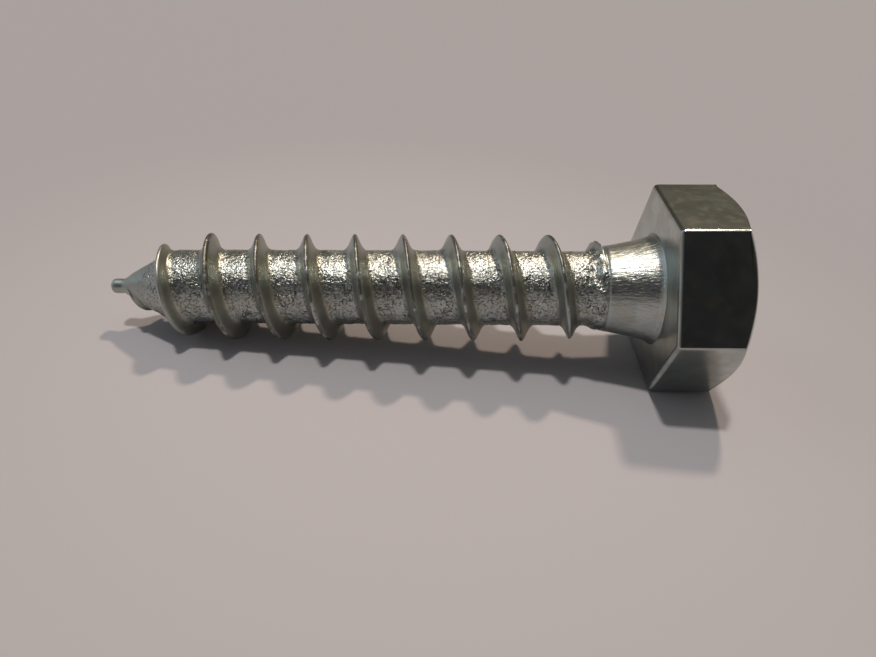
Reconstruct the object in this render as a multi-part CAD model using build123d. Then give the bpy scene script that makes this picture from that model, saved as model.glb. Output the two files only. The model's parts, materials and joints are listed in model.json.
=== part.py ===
from build123d import *
from math import asin, atan2, cos, degrees, floor, hypot, pi, radians, sin, sqrt, tan
import os

# A hex head wood screw in one piece of steel, all sizes in millimetres.
# It is modelled upright: the axis is Z, the underside of the head is z = 0 and the point is below.
# Then it is laid down as it rests on a bench, on one flat of its head and on its thread.

# Head
across_flats = 16.8
head_height = 6.5
end_circle_diameter = 16.3
chamfer_angle = 30.0
side_radius = 0.3           # of the edges between the flats
underside_radius = 0.45     # of the edges round the underside

# Neck, left at the diameter of the blank and flaring out under the head
neck_length = 4.0
neck_diameter = 8.1
flare_diameter = 9.7
under_head_fillet = 0.4

# Thread
length_under_head = 50.9
thread_diameter = 10.0
root_diameter = 7.0
pitch = 4.5
thread_angle = 64.0         # between the two flanks
thread_end_angle = 244.0    # around the axis, where the ridge runs out at the neck
run_out_rise = 1.8          # the root rises to the neck over this length
point_rise = [(0.0, 0.0), (0.3, 0.45), (0.8, 0.7), (1.3, 0.8), (1.8, 1.1), (2.3, 1.0)]
run_out_fall = [(0.95, 1.0), (0.2, 0.3), (0.0, 0.0)]
# Both lists hold (turns from that end of the ridge, share of its full height).

# Point
point_diameter = 1.3
point_length = 1.3
point_chamfer = 0.3
cone_length = 5.0
ridge_gap = 0.3             # the ridge starts at least this far up the cone

# How finely the thread is drawn
faces_per_turn = 4
strips_per_flank = 3

root_radius = root_diameter / 2
thread_depth = (thread_diameter - root_diameter) / 2
point_top = point_length - length_under_head
turns = floor((length_under_head - neck_length - point_length - ridge_gap) / pitch)
thread_start = -neck_length - turns * pitch
core_profile = [
    (-length_under_head, point_diameter / 2),
    (point_top, point_diameter / 2),
    (point_top + cone_length, root_radius),
    (-neck_length - run_out_rise, root_radius),
    (-neck_length, neck_diameter / 2),
]
ridge_share = point_rise + [(turns - left, share) for left, share in run_out_fall]


def value_at(profile, place):
    """Value at a place along a profile of (place, value) pairs, held level past its ends."""
    before = profile[0]
    for after in profile:
        if place <= after[0]:
            part_way = (place - before[0]) / max(after[0] - before[0], 1e-9)
            return before[1] + part_way * (after[1] - before[1])
        before = after
    return before[1]


def ridge_section():
    """The ridge's section at full height, as (along the axis from its middle, above the root) pairs."""
    foot = thread_depth * tan(radians(thread_angle / 2))
    shares = [step / strips_per_flank for step in range(1 - strips_per_flank, strips_per_flank)]
    inner = [(foot * share, thread_depth * (1 - abs(share))) for share in shares]
    return [(-foot, 0)] + inner + [(foot, 0)]


def on_thread(turn, z, height):
    """Point of the thread, wound this many turns from the ridge's start, at a height above the root."""
    angle = radians(360 * turn + thread_end_angle)
    radius = value_at(core_profile, z) + height
    return Vector(radius * cos(angle), radius * sin(angle), z)


def on_ridge(turn, offset, height):
    """Point of the ridge, by its place in the section at full height."""
    share = value_at(ridge_share, turn)
    return on_thread(turn, thread_start + pitch * turn + offset * share, height * share)


def winding_edge(point_at, first_turn):
    """Piece of an edge that winds round the screw, as one cubic."""
    length = 1 / faces_per_turn
    nudge = 1e-4
    first, last = point_at(first_turn), point_at(first_turn + length)
    first_speed = (point_at(first_turn + nudge) - first) * (1 / nudge)
    last_speed = (last - point_at(first_turn + length - nudge)) * (1 / nudge)
    pull = 2 / pi * tan(pi / 2 * length)  # with this the cubic keeps to a circle
    tangents = [first_speed * pull, last_speed * pull]
    return Edge.make_spline([first, last], tangents, parameters=[0, 1], scale=False)


def ridge_edges(offset, height):
    """A long edge of the ridge, in pieces."""
    starts = [number / faces_per_turn for number in range(turns * faces_per_turn)]
    return [winding_edge(lambda turn: on_ridge(turn, offset, height), start) for start in starts]


def winding_circle(z):
    """Circle round the core, in the same pieces as the edges that wind round it."""
    quarter = Edge.make_circle(value_at(core_profile, z), end_angle=360 / faces_per_turn)
    starts = [thread_end_angle + 360 * number / faces_per_turn for number in range(faces_per_turn)]
    return [Pos(0, 0, z) * Rot(0, 0, start) * quarter for start in starts]


def thread_faces():
    """Flanks and hollows of the ridge, and the bare root between its turns."""
    edges = [ridge_edges(offset, height) for offset, height in ridge_section()]
    strips = list(zip(edges, edges[1:]))
    strips.append((winding_circle(thread_start) + edges[-1], edges[0] + winding_circle(-neck_length)))
    return [Face.make_surface_from_curves(*pair) for strip in strips for pair in zip(*strip)]


def turned(outline):
    """Solid turned from half of its outline, with its seam where the ridge starts and ends."""
    profile = make_face(Plane.XZ * outline)
    return Rot(0, 0, thread_end_angle) * revolve(profile, Axis.Z)


def point():
    """Blunt point and the bare start of its cone."""
    end = -length_under_head
    radius = point_diameter / 2
    outline = Polyline(
        (0, end),
        (radius - point_chamfer, end),
        (radius, end + point_chamfer),
        (radius, point_top),
        (value_at(core_profile, thread_start), thread_start),
        (0, thread_start),
        close=True,
    )
    return turned(outline)


def neck():
    """Neck from the end of the thread to the underside of the head."""
    neck_radius = neck_diameter / 2
    flare_end = flare_diameter / 2
    outline = Polyline(
        (0, -neck_length),
        (neck_radius, -neck_length),
        (flare_end, -under_head_fillet),
        (flare_end + under_head_fillet, 0),
        (0, 0),
        close=True,
    )
    return turned(outline)


def head():
    """Hexagon with a flat across X, its end chamfered as a cone."""
    corner_radius = across_flats / sqrt(3)
    end_radius = end_circle_diameter / 2
    chamfer_height = (corner_radius - end_radius) * tan(radians(chamfer_angle))
    block = extrude(RegularPolygon(across_flats / 2, 6, major_radius=False, rotation=30), head_height)
    block = fillet(block.edges().filter_by(Axis.Z), side_radius)
    block = fillet(block.faces().sort_by(Axis.Z)[0].edges(), underside_radius)
    outline = Polyline(
        (0, 0),
        (corner_radius, 0),
        (corner_radius, head_height - chamfer_height),
        (end_radius, head_height),
        (0, head_height),
        close=True,
    )
    return block & turned(outline)


def screw():
    """The whole screw, upright."""
    lower_faces = point().faces().sort_by(Axis.Z)
    upper_faces = (neck() + head()).faces().sort_by(Axis.Z)
    return Solid(Shell(lower_faces[:-1] + upper_faces[1:] + thread_faces()))


def rest_tilt():
    """How far the axis tips when the screw lies on a flat of its head and on one crest, in degrees."""
    edge_centre = across_flats / 2 - underside_radius
    lowest = 1 - (thread_end_angle / 360) % 1
    tilts = []
    for turn in [lowest + number for number in range(turns)]:
        crest = on_ridge(turn, 0, thread_depth)
        along = underside_radius - crest.Z
        down = edge_centre - crest.X
        tilts.append(atan2(down, along) + asin(underside_radius / hypot(down, along)))
    return degrees(min(tilts))


def laid_down(solid):
    """The screw as it comes to rest on z = 0, its head towards +X."""
    lying = Rot(0, 90 - rest_tilt(), 0) * solid
    box = lying.bounding_box()
    return Pos(-box.center().X, -box.center().Y, -box.min.Z) * lying


os.makedirs("parts", exist_ok=True)
export_step(laid_down(screw()), "parts/hex_head_wood_screw.step")
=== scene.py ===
import json
from math import atan2, pi, radians, sin, sqrt, tan

import bmesh
import bpy
import numpy as np
from mathutils import Euler, Matrix, Vector, noise


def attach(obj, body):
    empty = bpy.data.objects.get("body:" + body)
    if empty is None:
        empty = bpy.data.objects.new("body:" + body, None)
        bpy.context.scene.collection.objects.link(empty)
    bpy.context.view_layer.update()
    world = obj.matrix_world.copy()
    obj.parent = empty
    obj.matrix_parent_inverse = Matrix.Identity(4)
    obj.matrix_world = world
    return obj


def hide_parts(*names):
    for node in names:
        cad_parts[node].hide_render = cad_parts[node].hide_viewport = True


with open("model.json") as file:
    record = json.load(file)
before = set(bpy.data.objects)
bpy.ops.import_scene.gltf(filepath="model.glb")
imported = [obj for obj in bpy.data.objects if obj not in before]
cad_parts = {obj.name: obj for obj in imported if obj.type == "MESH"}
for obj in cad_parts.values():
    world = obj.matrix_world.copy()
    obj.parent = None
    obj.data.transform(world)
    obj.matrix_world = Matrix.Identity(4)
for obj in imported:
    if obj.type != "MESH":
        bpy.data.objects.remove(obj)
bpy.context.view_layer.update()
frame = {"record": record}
print("frame loaded")

# The screw is shaped upright in millimetres, with its axis on Z and the underside of its head at z = 0.
# At the end it is laid down in metres, in the place of the plain model.

mm = 0.001
record = frame["record"]
bearing = next(mount for mount in record["mounts"] if mount["name"] == "bearing_face")
axisToHead = -Vector(bearing["axis"]).normalized()
undersideCentre = Vector((bearing["pos_m"][0], 0, bearing["pos_m"][2]))
layDown = Matrix.Rotation(atan2(axisToHead.x, axisToHead.z), 4, "Y")


def chooseOnly(piece):
    bpy.ops.object.select_all(action="DESELECT")
    piece.select_set(True)
    bpy.context.view_layer.objects.active = piece


def editPiece(piece, mode="VERT"):
    chooseOnly(piece)
    bpy.ops.object.mode_set(mode="EDIT")
    bpy.ops.mesh.select_mode(type=mode)
    bpy.ops.mesh.select_all(action="DESELECT")


def leaveEdit():
    bpy.ops.object.mode_set(mode="OBJECT")


def pickParts(piece, kind, test):  # selects the verts, edges or faces that pass the test
    bpy.ops.mesh.select_all(action="DESELECT")
    editMesh = bmesh.from_edit_mesh(piece.data)
    for part in getattr(editMesh, kind):
        if test(part):
            part.select_set(True)
    editMesh.select_flush_mode()
    bmesh.update_edit_mesh(piece.data)


def applyModifier(piece, kind, settings):
    modifier = piece.modifiers.new(kind.title(), kind)
    for name, value in settings.items():
        setattr(modifier, name, value)
    chooseOnly(piece)
    bpy.ops.object.modifier_apply(modifier=modifier.name)


def newestPiece(name):
    piece = bpy.context.active_object
    piece.name = name
    return piece


def readPlaces(piece):
    places = np.empty(len(piece.data.vertices) * 3)
    piece.data.vertices.foreach_get("co", places)
    return places.reshape(-1, 3)


def writePlaces(piece, places):
    piece.data.vertices.foreach_set("co", np.asarray(places, np.float32).ravel())
    piece.data.update()


def smoothRise(value, low, high):
    share = np.clip((value - low) / (high - low), 0, 1)
    return share * share * (3 - 2 * share)


def softMin(first, second, width):  # the smaller of two, with the corner between them rounded
    share = np.clip(0.5 + 0.5 * (second - first) / width, 0, 1)
    return second + (first - second) * share - width * share * (1 - share)


# Shank: a strip one pitch wide is wound up, cut off square at both ends, and its ridge is then raised.
shank = {
    "pitch": 4.5,
    "rootRadius": 3.47,
    "crestRadius": 4.985,
    "helixStart": -50.926,        # the ridge's middle would pass the starting angle at this height
    "angleAtStart": 90.0,
    "flankTop": 1.91,             # where the two flanks would meet above the root
    "flankSlope": 2.35,           # rise of a flank over its run along the axis
    "crestRound": 0.42,
    "rootRound": 0.85,
    "stepsPerTurn": 96,
    "turnsWound": 13,
    "pointTop": -49.6,
    "pointEnd": -50.88,
    "pointRadius": 0.7,
    "pointRound": 0.45,
    "neckStart": -4.6,
    "ridgeFade": 0.5,             # the ridge fades out over this length before the neck
    # turns from the helix's start, and share of the full height
    "ridgeShare": [(0.42, 0.0), (0.55, 0.2), (0.75, 0.45), (1.25, 0.72), (1.75, 0.82), (2.25, 1.09),
                   (2.75, 1.0), (9.4, 1.0), (9.75, 0.76), (10.05, 0.5), (10.25, 0.33), (10.44, 0.0)],
    "leastShare": 0.02,
    # height along the axis, and radius without the ridge
    "coreRadius": [(-49.6, 0.7), (-49.2, 0.92), (-48.5, 1.4), (-47.3, 2.05), (-44.9, 3.33), (-44.2, 3.47),
                   (-6.2, 3.47), (-5.2, 3.86), (-4.72, 3.94), (-4.64, 3.86), (-4.6, 3.86)],
    "neckRadius": [(-4.6, 3.86), (-4.53, 3.93), (-4.42, 3.98), (-3.9, 4.06), (-2.15, 4.41), (-0.9, 4.72),
                   (-0.45, 4.85), (-0.2, 4.98), (0.0, 5.2)],
    # distance from the ridge's middle, and spacing of the points of the strip up to there
    "stripSpacing": [(0.3, 0.05), (1.0, 0.07), (1.5, 0.08), (2.25, 0.125)],
    # rows of points up the neck, as distances from its start: from, to and how many
    "neckRows": [(0.03, 0.13, 3), (0.2, 4.1, 28), (4.18, 4.6, 7)],
    # rows of points down the pin, and then round its end, in degrees
    "pointRows": [0.2, 0.4, 0.6, 0.75],
    "pointTurns": [15, 30, 45, 60, 72, 82],
    "mergeStrip": 0.005,
    "mergeCuts": 0.01,
    "edgeGap": 0.001,
}


def stripStations():
    stations = [0.0]
    for end, spacing in shank["stripSpacing"]:
        count = round((end - stations[-1]) / spacing)
        stations += list(np.linspace(stations[-1], end, count + 1)[1:])
    return [-station for station in reversed(stations[1:])] + stations


def windStrip():
    stations = stripStations()
    startHeight = shank["helixStart"] - shank["pitch"] * (1 + shank["angleAtStart"] / 360)
    bpy.ops.mesh.primitive_plane_add(size=2, location=(0, 0, 0))
    piece = newestPiece("hexHeadWoodScrew")
    editPiece(piece)
    pickParts(piece, "verts", lambda vert: vert.co.x > 0)
    bpy.ops.mesh.delete(type="VERT")
    bpy.ops.mesh.select_all(action="SELECT")
    bpy.ops.mesh.subdivide(number_cuts=len(stations) - 2)
    leaveEdit()
    order = np.argsort(readPlaces(piece)[:, 1])
    places = np.zeros((len(stations), 3))
    places[order] = [(shank["rootRadius"], 0, startHeight + station) for station in stations]
    writePlaces(piece, places)
    applyModifier(piece, "SCREW", {
        "axis": "Z",
        "angle": 2 * pi,
        "screw_offset": shank["pitch"],
        "iterations": shank["turnsWound"],
        "steps": shank["stepsPerTurn"],
        "render_steps": shank["stepsPerTurn"],
    })
    return piece


def extendEdge(rows, direction):
    done = 0
    for row in rows:
        bpy.ops.mesh.extrude_region_move(TRANSFORM_OT_translate={"value": (0, 0, direction * (row - done))})
        done = row


def squareEdge(piece, height, test):  # picks one open edge of the strip and sets it level
    pickParts(piece, "verts", lambda vert: vert.is_boundary and test(vert.co.z))
    bpy.ops.transform.resize(value=(1, 1, 0), center_override=(0, 0, height))


def cutAndExtend(piece):
    top, low = shank["neckStart"], shank["pointTop"]
    editPiece(piece)
    bpy.ops.mesh.select_all(action="SELECT")
    bpy.ops.mesh.remove_doubles(threshold=shank["mergeStrip"])
    for height, keptSide in ((low, (0, 0, 1)), (top, (0, 0, -1))):
        bpy.ops.mesh.select_all(action="SELECT")
        bpy.ops.mesh.bisect(plane_co=(0, 0, height), plane_no=keptSide, clear_inner=True)
    bpy.ops.mesh.select_all(action="SELECT")
    bpy.ops.mesh.remove_doubles(threshold=shank["mergeCuts"])
    squareEdge(piece, top, lambda height: height > top - 1)
    extendEdge([row for rows in shank["neckRows"] for row in np.linspace(*rows)], 1)
    squareEdge(piece, low, lambda height: height < low + 1)
    length = low - shank["pointEnd"]
    straight = length - shank["pointRound"]
    rounded = [straight + shank["pointRound"] * sin(radians(turned)) for turned in shank["pointTurns"]]
    extendEdge(shank["pointRows"] + rounded + [length], -1)
    bpy.ops.mesh.merge(type="CENTER")
    leaveEdit()


def ridgeHeight(out, share):  # out: the distance from the ridge's middle, as it would be at full size
    full = shank["crestRadius"] - shank["rootRadius"]
    flank = shank["flankTop"] - shank["flankSlope"] * np.abs(out)
    rounded = softMin(full + 0 * out, flank, shank["crestRound"])
    lifted = -softMin(0 * out, -rounded, shank["rootRound"])
    return np.maximum(share, shank["leastShare"]) * lifted * (share > 0)


# Rolled skin: the crumpled bare root between the ridges, and a little waviness elsewhere, in millimetres.
skin = {
    # how often each kind of unevenness repeats per millimetre, and a shift that makes it its own
    "grains": {
        "waves": (0.55, 3.1),
        "dents": (1.5, 8.7),
        "pits": (3.6, 5.2),
        "creases": (0.9, 21.0),
        "creasePatches": (0.35, 33.0),
    },
    "creaseWidth": 0.07,
    "creasePatch": (-0.05, 0.25),
    "flankEnd": (0.8, 0.85),      # how far the smooth flanks reach, towards the tip and towards the head
    "flankBlend": 0.15,
    "coneFrom": (-48.6, -46.0),   # the cone is smooth below, crumpled above
    "paintedReflectionFrom": (0.1, 0.25),     # the side of the ridge that faces the head, where an olive reflection is painted, from its middle
    "paintedReflectionReach": 0.6,            # and past the flank's end
    "runOutFrom": (-7.0, -5.9),
    "runOutEnd": 0.02,
    "calmBeforeNeck": (0.25, 0.05),
    "calmShare": 0.7,
    "neckShare": 0.35,
    # how deep each is on the bare root, on the run-out, on the ridge and on its crest
    "rootDepth": {"waves": 0.035, "dents": 0.045, "pits": 0.028, "creases": -0.07},
    "runOutDepth": {"dents": 0.12, "pits": 0.09},
    "runOutSink": 0.05,
    "ridgeDepth": 0.012,
    "crestDepth": 0.03,
    "crestFrom": 0.9,
}


def unevenness(places):
    found = {}
    for name, (scale, shift) in skin["grains"].items():
        offset = Vector((shift, shift, shift))
        found[name] = np.array([noise.noise(Vector(place) * scale + offset) for place in places])
    lines = np.maximum(0, 1 - np.abs(found["creases"]) / skin["creaseWidth"])
    found["creases"] = lines * smoothRise(found["creasePatches"], *skin["creasePatch"])
    return found


def crumpledSkin(places, land, onNeck, onPoint, onCrest):
    height = places[:, 2]
    neckStart = shank["neckStart"]
    uneven = unevenness(places)
    runOut = smoothRise(height, *skin["runOutFrom"]) * (height < neckStart - skin["runOutEnd"])
    depth = land * sum(uneven[name] * share for name, share in skin["rootDepth"].items())
    runOutDepth = sum(uneven[name] * share for name, share in skin["runOutDepth"].items())
    depth += runOut * (runOutDepth - skin["runOutSink"])
    depth += (1 - land) * skin["ridgeDepth"] * uneven["dents"] * ~onPoint
    depth = np.where(onCrest, -np.abs(skin["crestDepth"] * uneven["dents"]), depth)
    calmFrom, calmAt = skin["calmBeforeNeck"]
    depth *= 1 - smoothRise(height, neckStart - calmFrom, neckStart - calmAt) * skin["calmShare"]
    return np.where(onNeck, depth * skin["neckShare"], depth)


def raiseRidge(piece):
    places = readPlaces(piece)
    angle = np.arctan2(places[:, 1], places[:, 0])
    height = places[:, 2]
    turn = (height - shank["helixStart"]) / shank["pitch"]
    aroundTurn = (np.degrees(angle) - shank["angleAtStart"]) / 360
    ridgeTurn = np.round(turn - aroundTurn) + aroundTurn
    share = np.interp(ridgeTurn, *zip(*shank["ridgeShare"]), left=0, right=0)
    out = (turn - ridgeTurn) * shank["pitch"] / np.sqrt(np.maximum(share, shank["leastShare"]))
    onNeck = height > shank["neckStart"] + shank["edgeGap"]
    onPoint = height < shank["pointTop"] - shank["edgeGap"]
    onThread = ~(onNeck | onPoint)

    # the plain shape
    ridge = np.where(onThread, ridgeHeight(out, share), 0)
    ridge *= 1 - smoothRise(height, shank["neckStart"] - shank["ridgeFade"], shank["neckStart"])
    core = np.interp(height, *zip(*shank["coreRadius"]))
    neck = np.interp(height, *zip(*shank["neckRadius"]))
    down = np.clip((shank["pointEnd"] + shank["pointRound"] - height) / shank["pointRound"], 0, 1)
    pointRadius = shank["pointRadius"] * np.sqrt(np.maximum(1 - down * down, 0))
    radius = np.where(onNeck, neck, np.where(onPoint, pointRadius, core + ridge))

    # the skin on it
    tipSide, headSide = skin["flankEnd"]
    blend = skin["flankBlend"]
    land = smoothRise(out, headSide - blend, headSide + blend)
    land += smoothRise(-out, tipSide - blend, tipSide + blend)
    land *= onThread * smoothRise(height, *skin["coneFrom"])
    # the flank that faces the head, where an olive reflection is painted into the colour
    headFlank = 1 - smoothRise(out, headSide, headSide + skin["paintedReflectionReach"])
    headFlank *= onThread * (share > 0) * smoothRise(out, *skin["paintedReflectionFrom"])
    fullHeight = shank["crestRadius"] - shank["rootRadius"]
    radius += crumpledSkin(places, land, onNeck, onPoint, ridge > skin["crestFrom"] * fullHeight)
    places[:, 0] = radius * np.cos(angle)
    places[:, 1] = radius * np.sin(angle)
    writePlaces(piece, places)
    for name, values in (("land", land), ("ridge", ridge / fullHeight), ("headFlank", headFlank)):
        attribute = piece.data.attributes.new(name, "FLOAT", "POINT")
        attribute.data.foreach_set("value", values.astype(np.float32))


# Head: a six-sided block, its end cut by a cone and its edges rounded.
head = {
    "acrossFlats": 16.8,
    "height": 6.5,
    "endCircle": 16.3,
    "chamferAngle": 30.0,
    "coneSides": 144,
    "undersideRound": 0.45,
    "sideRound": 0.17,
    "chamferRound": 0.1,
    "roundSteps": 4,
    "roundedOver": 20.0,          # an edge is rounded if its two faces turn by more than this, in degrees
    "sideLength": 2.0,            # an edge that rises by more than this is a side edge
    "undersideRing": 7.7,
    "undersideRings": 6,
    "spare": 1.0,                 # the block is cut from this much more height
}


def makeHead():
    corner = head["acrossFlats"] / sqrt(3)
    tall = head["height"] + head["spare"]
    bpy.ops.mesh.primitive_cylinder_add(vertices=6, radius=corner, depth=tall, location=(0, 0, tall / 2))
    piece = newestPiece("head")
    spread = 1 / tan(radians(head["chamferAngle"]))
    bpy.ops.mesh.primitive_cone_add(
        vertices=head["coneSides"],
        radius1=head["endCircle"] / 2 + tall * spread,
        radius2=head["endCircle"] / 2,
        depth=tall,
        location=(0, 0, head["height"] - tall / 2),
    )
    cutter = newestPiece("chamferCone")
    for each in (piece, cutter):
        each.data.transform(each.matrix_world)
        each.matrix_world = Matrix.Identity(4)
    applyModifier(piece, "BOOLEAN", {"operation": "INTERSECT", "object": cutter, "solver": "EXACT"})
    bpy.data.objects.remove(cutter)
    markRounding(piece)
    applyModifier(piece, "BEVEL", {
        "width": head["undersideRound"],
        "segments": head["roundSteps"],
        "limit_method": "WEIGHT",
        "use_clamp_overlap": False,
    })
    openUnderside(piece)
    return piece


def markRounding(piece):  # each edge's share of the widest rounding
    piece.data.attributes.new("bevel_weight_edge", "FLOAT", "EDGE")
    editPiece(piece, "EDGE")
    editMesh = bmesh.from_edit_mesh(piece.data)
    layer = editMesh.edges.layers.float["bevel_weight_edge"]
    for edge in editMesh.edges:
        if edge.calc_face_angle(0) < radians(head["roundedOver"]):
            continue
        first, last = (vert.co.z for vert in edge.verts)
        if max(first, last) < shank["edgeGap"]:
            edge[layer] = 1
        elif abs(first - last) > head["sideLength"]:
            edge[layer] = head["sideRound"] / head["undersideRound"]
        else:
            edge[layer] = head["chamferRound"] / head["undersideRound"]
    bmesh.update_edit_mesh(piece.data)
    leaveEdit()


def openUnderside(piece):
    editPiece(piece, "FACE")
    gap = shank["edgeGap"]
    pickParts(piece, "faces", lambda face: face.normal.z < gap - 1 and face.calc_center_median().z < gap)
    bpy.ops.mesh.delete(type="FACE")
    leaveEdit()


def joinHead(shankPiece, headPiece):
    editPiece(shankPiece)
    pickParts(shankPiece, "verts", lambda vert: vert.is_boundary)
    radius = shank["neckRadius"][-1][1]
    for ring in np.linspace(radius, head["undersideRing"], head["undersideRings"] + 1)[1:]:
        bpy.ops.mesh.extrude_region_move()
        bpy.ops.transform.resize(value=(ring / radius, ring / radius, 1), center_override=(0, 0, 0))
        radius = ring
    leaveEdit()
    chooseOnly(shankPiece)
    headPiece.select_set(True)
    bpy.ops.object.join()
    editPiece(shankPiece, "EDGE")
    pickParts(shankPiece, "edges", lambda edge: edge.is_boundary)
    bpy.ops.mesh.bridge_edge_loops()
    bpy.ops.mesh.select_all(action="SELECT")
    bpy.ops.mesh.normals_make_consistent(inside=False)
    leaveEdit()


def layScrewDown(piece):
    chooseOnly(piece)
    bpy.ops.object.shade_smooth_by_angle(angle=radians(40))
    piece.data.transform(Matrix.Translation(undersideCentre) @ layDown @ Matrix.Scale(mm, 4))
    piece.data.update()
    applyModifier(piece, "WEIGHTED_NORMAL", {"keep_sharp": True, "weight": 60})


screw = windStrip()
cutAndExtend(screw)
raiseRidge(screw)
print("shank shaped")
joinHead(screw, makeHead())
layScrewDown(screw)
print("head joined")


class Wire:  # a socket that can be used in sums

    def __init__(self, tree, socket):
        self.tree = tree
        self.socket = socket

    def sum(self, operation, first, second):
        return addNode(self.tree, "ShaderNodeMath", {"operation": operation}, [first, second])

    def __add__(self, other):
        return self.sum("ADD", self, other)

    def __radd__(self, other):
        return self.sum("ADD", other, self)

    def __sub__(self, other):
        return self.sum("SUBTRACT", self, other)

    def __rsub__(self, other):
        return self.sum("SUBTRACT", other, self)

    def __mul__(self, other):
        return self.sum("MULTIPLY", self, other)

    def __rmul__(self, other):
        return self.sum("MULTIPLY", other, self)


def addNode(tree, kind, settings=None, values=None, output=0):  # any node: its settings first, then its sockets
    node = tree.nodes.new(kind)
    for name, value in (settings or {}).items():
        setattr(node, name, value)
    pairs = values.items() if isinstance(values, dict) else enumerate(values or [])
    for name, value in pairs:
        if isinstance(value, Wire):
            tree.links.new(value.socket, node.inputs[name])
        else:
            node.inputs[name].default_value = value
    return Wire(tree, node.outputs[output])


def rise(tree, value, low, high):
    return addNode(tree, "ShaderNodeMapRange", {"interpolation_type": "SMOOTHSTEP"}, {
        "Value": value, "From Min": low, "From Max": high})


def blendColors(tree, share, first, second):
    return addNode(tree, "ShaderNodeMix", {"data_type": "RGBA"}, {0: share, 6: first, 7: second}, 2)


def grain(tree, place, scale, detail, roughness=0.5):
    return addNode(tree, "ShaderNodeTexNoise", {}, {
        "Vector": place, "Scale": scale, "Detail": detail, "Roughness": roughness})


zinc = {
    "light": (0.49, 0.53, 0.515, 1),
    "dull": (0.35, 0.375, 0.365, 1),
    "warm": (0.42, 0.385, 0.28, 1),
    # painted reflection: olive and darker than the bare zinc, on the flank that faces the head
    "paintedOliveReflection": (0.37, 0.35, 0.25, 1),
    "stain": (0.07, 0.065, 0.05, 1),
    "seam": (0.13, 0.12, 0.1, 1),
    # how strongly each colour covers the light one
    "covers": {"dull": 0.6, "warm": 0.45, "specks": 0.6, "folds": 0.85, "paintedOliveReflection": 0.45, "seams": 0.8},
    # how often each pattern repeats per millimetre, its detail, and where on it a patch starts and is full
    "patches": {
        "dull": (0.35, 3.0, 0.38, 0.62),
        "warm": (1.1, 3.0, 0.45, 0.7),
        "specks": (4.6, 3.0, 0.5, 0.62),
        "folds": (0.6, 1.0, 0.45, 0.55),
        "seams": (1.3, 3.0, 0.36, 0.5),
    },
    "foldScale": 0.75,
    "foldTwist": 1.1,
    "foldLine": (0.004, 0.022),
    "crestFrom": (0.9, 0.96),
    "neckFrom": (-0.1, 0.05),     # past the neck's start
    "neckTo": (-0.15, 0.0),
    "headFrom": (-0.1, 0.05),
    "flankRoughness": 0.4,
    "landRoughness": 0.3,
    "headRoughness": 0.23,
    "warmRoughness": 0.04,
    "neckPolish": 0.85,           # how close the neck comes to the land's roughness
    # the relief's grains: repeats per millimetre, detail and roughness
    "grains": {"drawn": (4.5, 3.0, 0.6), "hammered": (2.1, 2.0, 0.6), "sparkle": (5.0, 2.0, 0.6)},
    "lineStretch": (1.0, 1.0, 0.09),
    # heights in millimetres
    "hammered": 0.06,
    "sparkle": 0.08,
    "creaseDepth": 0.03,
    "drawnLines": 0.06,
    "beads": 0.03,
    "seamDepth": 0.015,
    "skin": 0.004,
    "headSkin": 0.4,              # more of it on the head, as a share
}


def zincPatches(tree, place, name):
    scale, detail, low, high = zinc["patches"][name]
    return rise(tree, grain(tree, place, scale, detail), low, high)


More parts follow.
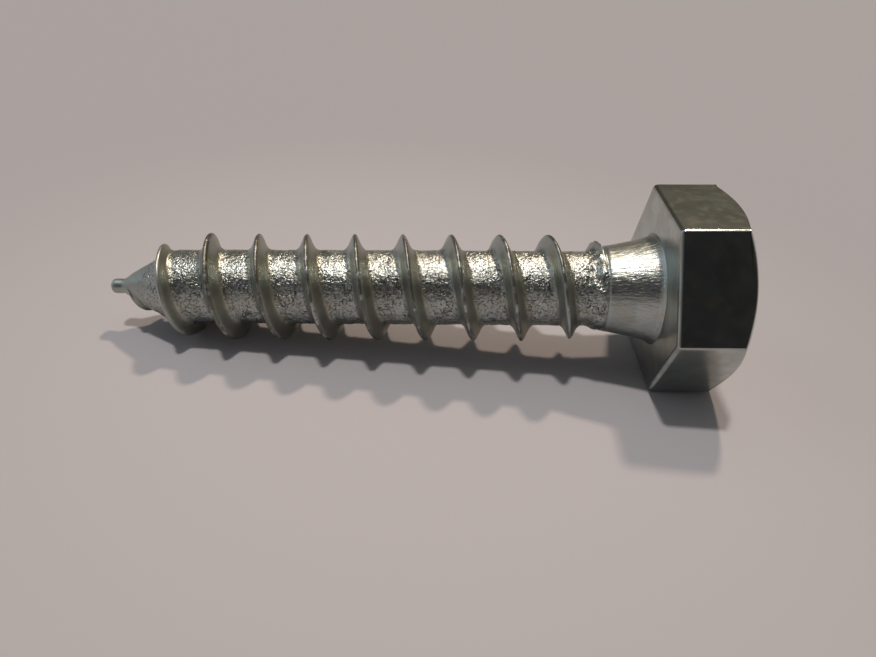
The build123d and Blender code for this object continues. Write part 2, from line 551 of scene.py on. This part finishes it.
def zincCoat():
    material = bpy.data.materials.new("zincPlatedSteel")
    material.use_nodes = True
    tree = material.node_tree
    shader = tree.nodes["Principled BSDF"]
    place = addNode(tree, "ShaderNodeMapping", {"vector_type": "TEXTURE"}, {
        "Vector": addNode(tree, "ShaderNodeTexCoord", output="Object"),
        "Location": undersideCentre,
        "Rotation": layDown.to_euler(),
        "Scale": (mm, mm, mm),
    })
    height = addNode(tree, "ShaderNodeSeparateXYZ", {}, [place], "Z")
    land, ridge, headFlank = [
        addNode(tree, "ShaderNodeAttribute", {"attribute_name": name}, output="Fac")
        for name in ("land", "ridge", "headFlank")]
    neckStarts = rise(tree, height, *[shank["neckStart"] + edge for edge in zinc["neckFrom"]])
    onNeck = neckStarts * (1 - rise(tree, height, *zinc["neckTo"]))
    onHead = rise(tree, height, *zinc["headFrom"])

    # curly folds in the rolled skin, and seams along the crest
    fold = addNode(tree, "ShaderNodeTexNoise", {}, {
        "Vector": place,
        "Scale": zinc["foldScale"],
        "Detail": 2.0,
        "Roughness": 0.55,
        "Distortion": zinc["foldTwist"],
    })
    fromMiddle = addNode(tree, "ShaderNodeMath", {"operation": "ABSOLUTE"}, [fold - 0.5])
    folds = (1 - rise(tree, fromMiddle, *zinc["foldLine"])) * zincPatches(tree, place, "folds") * land
    crest = rise(tree, ridge, *zinc["crestFrom"])
    seams = crest * zincPatches(tree, place, "seams")

    # colour, from the coat itself to what lies on it
    warm = zincPatches(tree, place, "warm")
    covers = [
        ("dull", zincPatches(tree, place, "dull"), zinc["dull"]),
        ("warm", warm, zinc["warm"]),
        ("specks", zincPatches(tree, place, "specks") * land, zinc["stain"]),
        ("folds", folds, zinc["stain"]),
        # painted olive reflection on the flank that faces the head
        ("paintedOliveReflection", headFlank, zinc["paintedOliveReflection"]),
        ("seams", seams, zinc["seam"]),
    ]
    color = zinc["light"]
    for name, share, coverColor in covers:
        color = blendColors(tree, share * zinc["covers"][name], color, coverColor)

    # relief
    stretched = addNode(tree, "ShaderNodeVectorMath", {"operation": "MULTIPLY"}, [place, zinc["lineStretch"]])
    drawn = grain(tree, stretched, *zinc["grains"]["drawn"])
    hammered = grain(tree, place, *zinc["grains"]["hammered"])
    sparkle = grain(tree, place, *zinc["grains"]["sparkle"])
    relief = land * (hammered * zinc["hammered"] + sparkle * zinc["sparkle"]) - folds * zinc["creaseDepth"]
    relief = relief + onNeck * drawn * zinc["drawnLines"]
    relief = relief + sparkle * zinc["skin"] * (1 + onHead * zinc["headSkin"])
    relief = relief + crest * sparkle * zinc["beads"] - seams * zinc["seamDepth"]
    bump = addNode(tree, "ShaderNodeBump", {}, {"Strength": 1.0, "Distance": mm, "Height": relief})

    # roughness
    smooth = land + onNeck * zinc["neckPolish"]
    rough = (1 - onHead) * (zinc["flankRoughness"] * (1 - smooth) + zinc["landRoughness"] * smooth)
    rough = rough + onHead * zinc["headRoughness"] + warm * zinc["warmRoughness"]
    tree.links.new(color.socket, shader.inputs["Base Color"])
    tree.links.new(rough.socket, shader.inputs["Roughness"])
    tree.links.new(bump.socket, shader.inputs["Normal"])
    shader.inputs["Metallic"].default_value = 1.0
    return material


screw.data.materials.clear()
screw.data.materials.append(zincCoat())
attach(screw, "root")
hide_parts("hex_head_wood_screw")
print("finish applied")


# Floor, lamps, surroundings and camera
studio = {
    "floorSize": 3.0,
    "floorColor": (0.445, 0.43, 0.455, 1),
    "floorPaintedShade": (0.365, 0.36, 0.385, 1),
    "floorShadeReach": (0.012, 0.07),  # painted shade: the floor's colour darkens over these distances from the middle
    "floorRoughness": 0.9,
    "backdropColor": (0.403, 0.361, 0.346, 1),
    "backdropTop": (0.04, 0.16),  # how far up the metal shows the backdrop
    "cameraPlace": (0.00088, -0.05581, 0.03965),
    "cameraTurn": (55.92, -4.383, 1.417),
    "lens": 28.24,
    # direction to the lamp, its apparent width in degrees, its strength and its colour
    "lamps": [
        ("lampAbove", (-0.119, 0.0, 0.993), 4.5, 1.45, (1.0, 0.93, 0.88)),
        ("lampBehind", (0.152, 0.515, 0.844), 4.0, 1.35, (1.0, 0.8, 0.62)),
        ("windowSide", (-0.8, 0.15, 0.5), 50.0, 0.25, (0.78, 0.9, 1.0)),
        ("floorFill", (0.1, -0.8, 0.7), 120.0, 0.3, (0.95, 0.97, 1.0)),
    ],
    # the room is dark in front, and each other side comes in along its axes from the first share to the second
    "roomFront": (0.013, 0.013, 0.015, 1),
    "roomSides": [
        ((0.068, 0.063, 0.048, 1), [("Y", 0.05, 0.55)]),                   # behind
        ((0.3, 0.285, 0.24, 1), [("Z", 0.6, 0.85), ("Y", 0.0, 0.3)]),      # high up behind
        ((0.17, 0.15, 0.115, 1), [("X", 0.35, 0.85)]),                     # right
        ((0.16, 0.175, 0.19, 1), [("X", -0.35, -0.85)]),                   # left
        ((0.42, 0.4, 0.37, 1), [("Z", 0.9, 0.99)]),                        # ceiling
    ],
}


def makeFloor():
    bpy.ops.mesh.primitive_plane_add(size=studio["floorSize"], location=(0, 0, 0))
    paper = newestPiece("paperFloor")
    material = bpy.data.materials.new("palePaper")
    material.use_nodes = True
    tree = material.node_tree
    shader = tree.nodes["Principled BSDF"]
    place = addNode(tree, "ShaderNodeTexCoord", output="Object")
    reach = addNode(tree, "ShaderNodeVectorMath", {"operation": "LENGTH"}, [place], "Value")
    # painted light falloff: lighter in the middle, painted shade towards the edges
    paintedFalloff = rise(tree, reach, *studio["floorShadeReach"])
    color = blendColors(tree, paintedFalloff, studio["floorColor"], studio["floorPaintedShade"])
    tree.links.new(color.socket, shader.inputs["Base Color"])
    shader.inputs["Roughness"].default_value = studio["floorRoughness"]
    paper.data.materials.append(material)


def makeLamps():
    for name, direction, width, strength, color in studio["lamps"]:
        toLamp = Vector(direction).normalized()
        bpy.ops.object.light_add(type="SUN", location=toLamp / 2)
        lamp = newestPiece(name)
        lamp.rotation_euler = toLamp.to_track_quat("Z", "Y").to_euler()
        lamp.data.angle = radians(width)
        lamp.data.energy = strength
        lamp.data.color = color
        lamp.visible_glossy = name != "floorFill"  # it opens the shadows on the floor and makes no highlight


def makeSurroundings():
    world = bpy.data.worlds.new("room")
    bpy.context.scene.world = world
    world.use_nodes = True
    tree = world.node_tree
    background = tree.nodes["Background"]
    direction = addNode(tree, "ShaderNodeTexCoord", output="Generated")
    along = {axis: addNode(tree, "ShaderNodeSeparateXYZ", {}, [direction], axis) for axis in "XYZ"}
    glow = studio["roomFront"]
    for color, edges in studio["roomSides"]:
        share = 1
        for axis, low, high in edges:
            share = share * rise(tree, along[axis], low, high)
        glow = blendColors(tree, share, glow, color)
    seen, shiny, clear = [
        addNode(tree, "ShaderNodeLightPath", output="Is " + kind + " Ray")
        for kind in ("Camera", "Glossy", "Transmission")]
    backdrop = seen + (shiny + clear) * (1 - rise(tree, along["Z"], *studio["backdropTop"]))
    glow = blendColors(tree, backdrop, glow, studio["backdropColor"])
    tree.links.new(glow.socket, background.inputs["Color"])
    background.inputs["Strength"].default_value = 1.0


def makeCamera():
    bpy.ops.object.camera_add(location=studio["cameraPlace"])
    camera = newestPiece("camera")
    camera.rotation_euler = Euler([radians(angle) for angle in studio["cameraTurn"]])
    camera.data.sensor_width = 36
    camera.data.lens = studio["lens"]
    camera.data.clip_start = 0.001
    camera.data.clip_end = 10
    bpy.context.scene.camera = camera


makeFloor()
makeLamps()
makeSurroundings()
makeCamera()
bpy.context.scene.view_settings.view_transform = "Standard"
print("studio set")
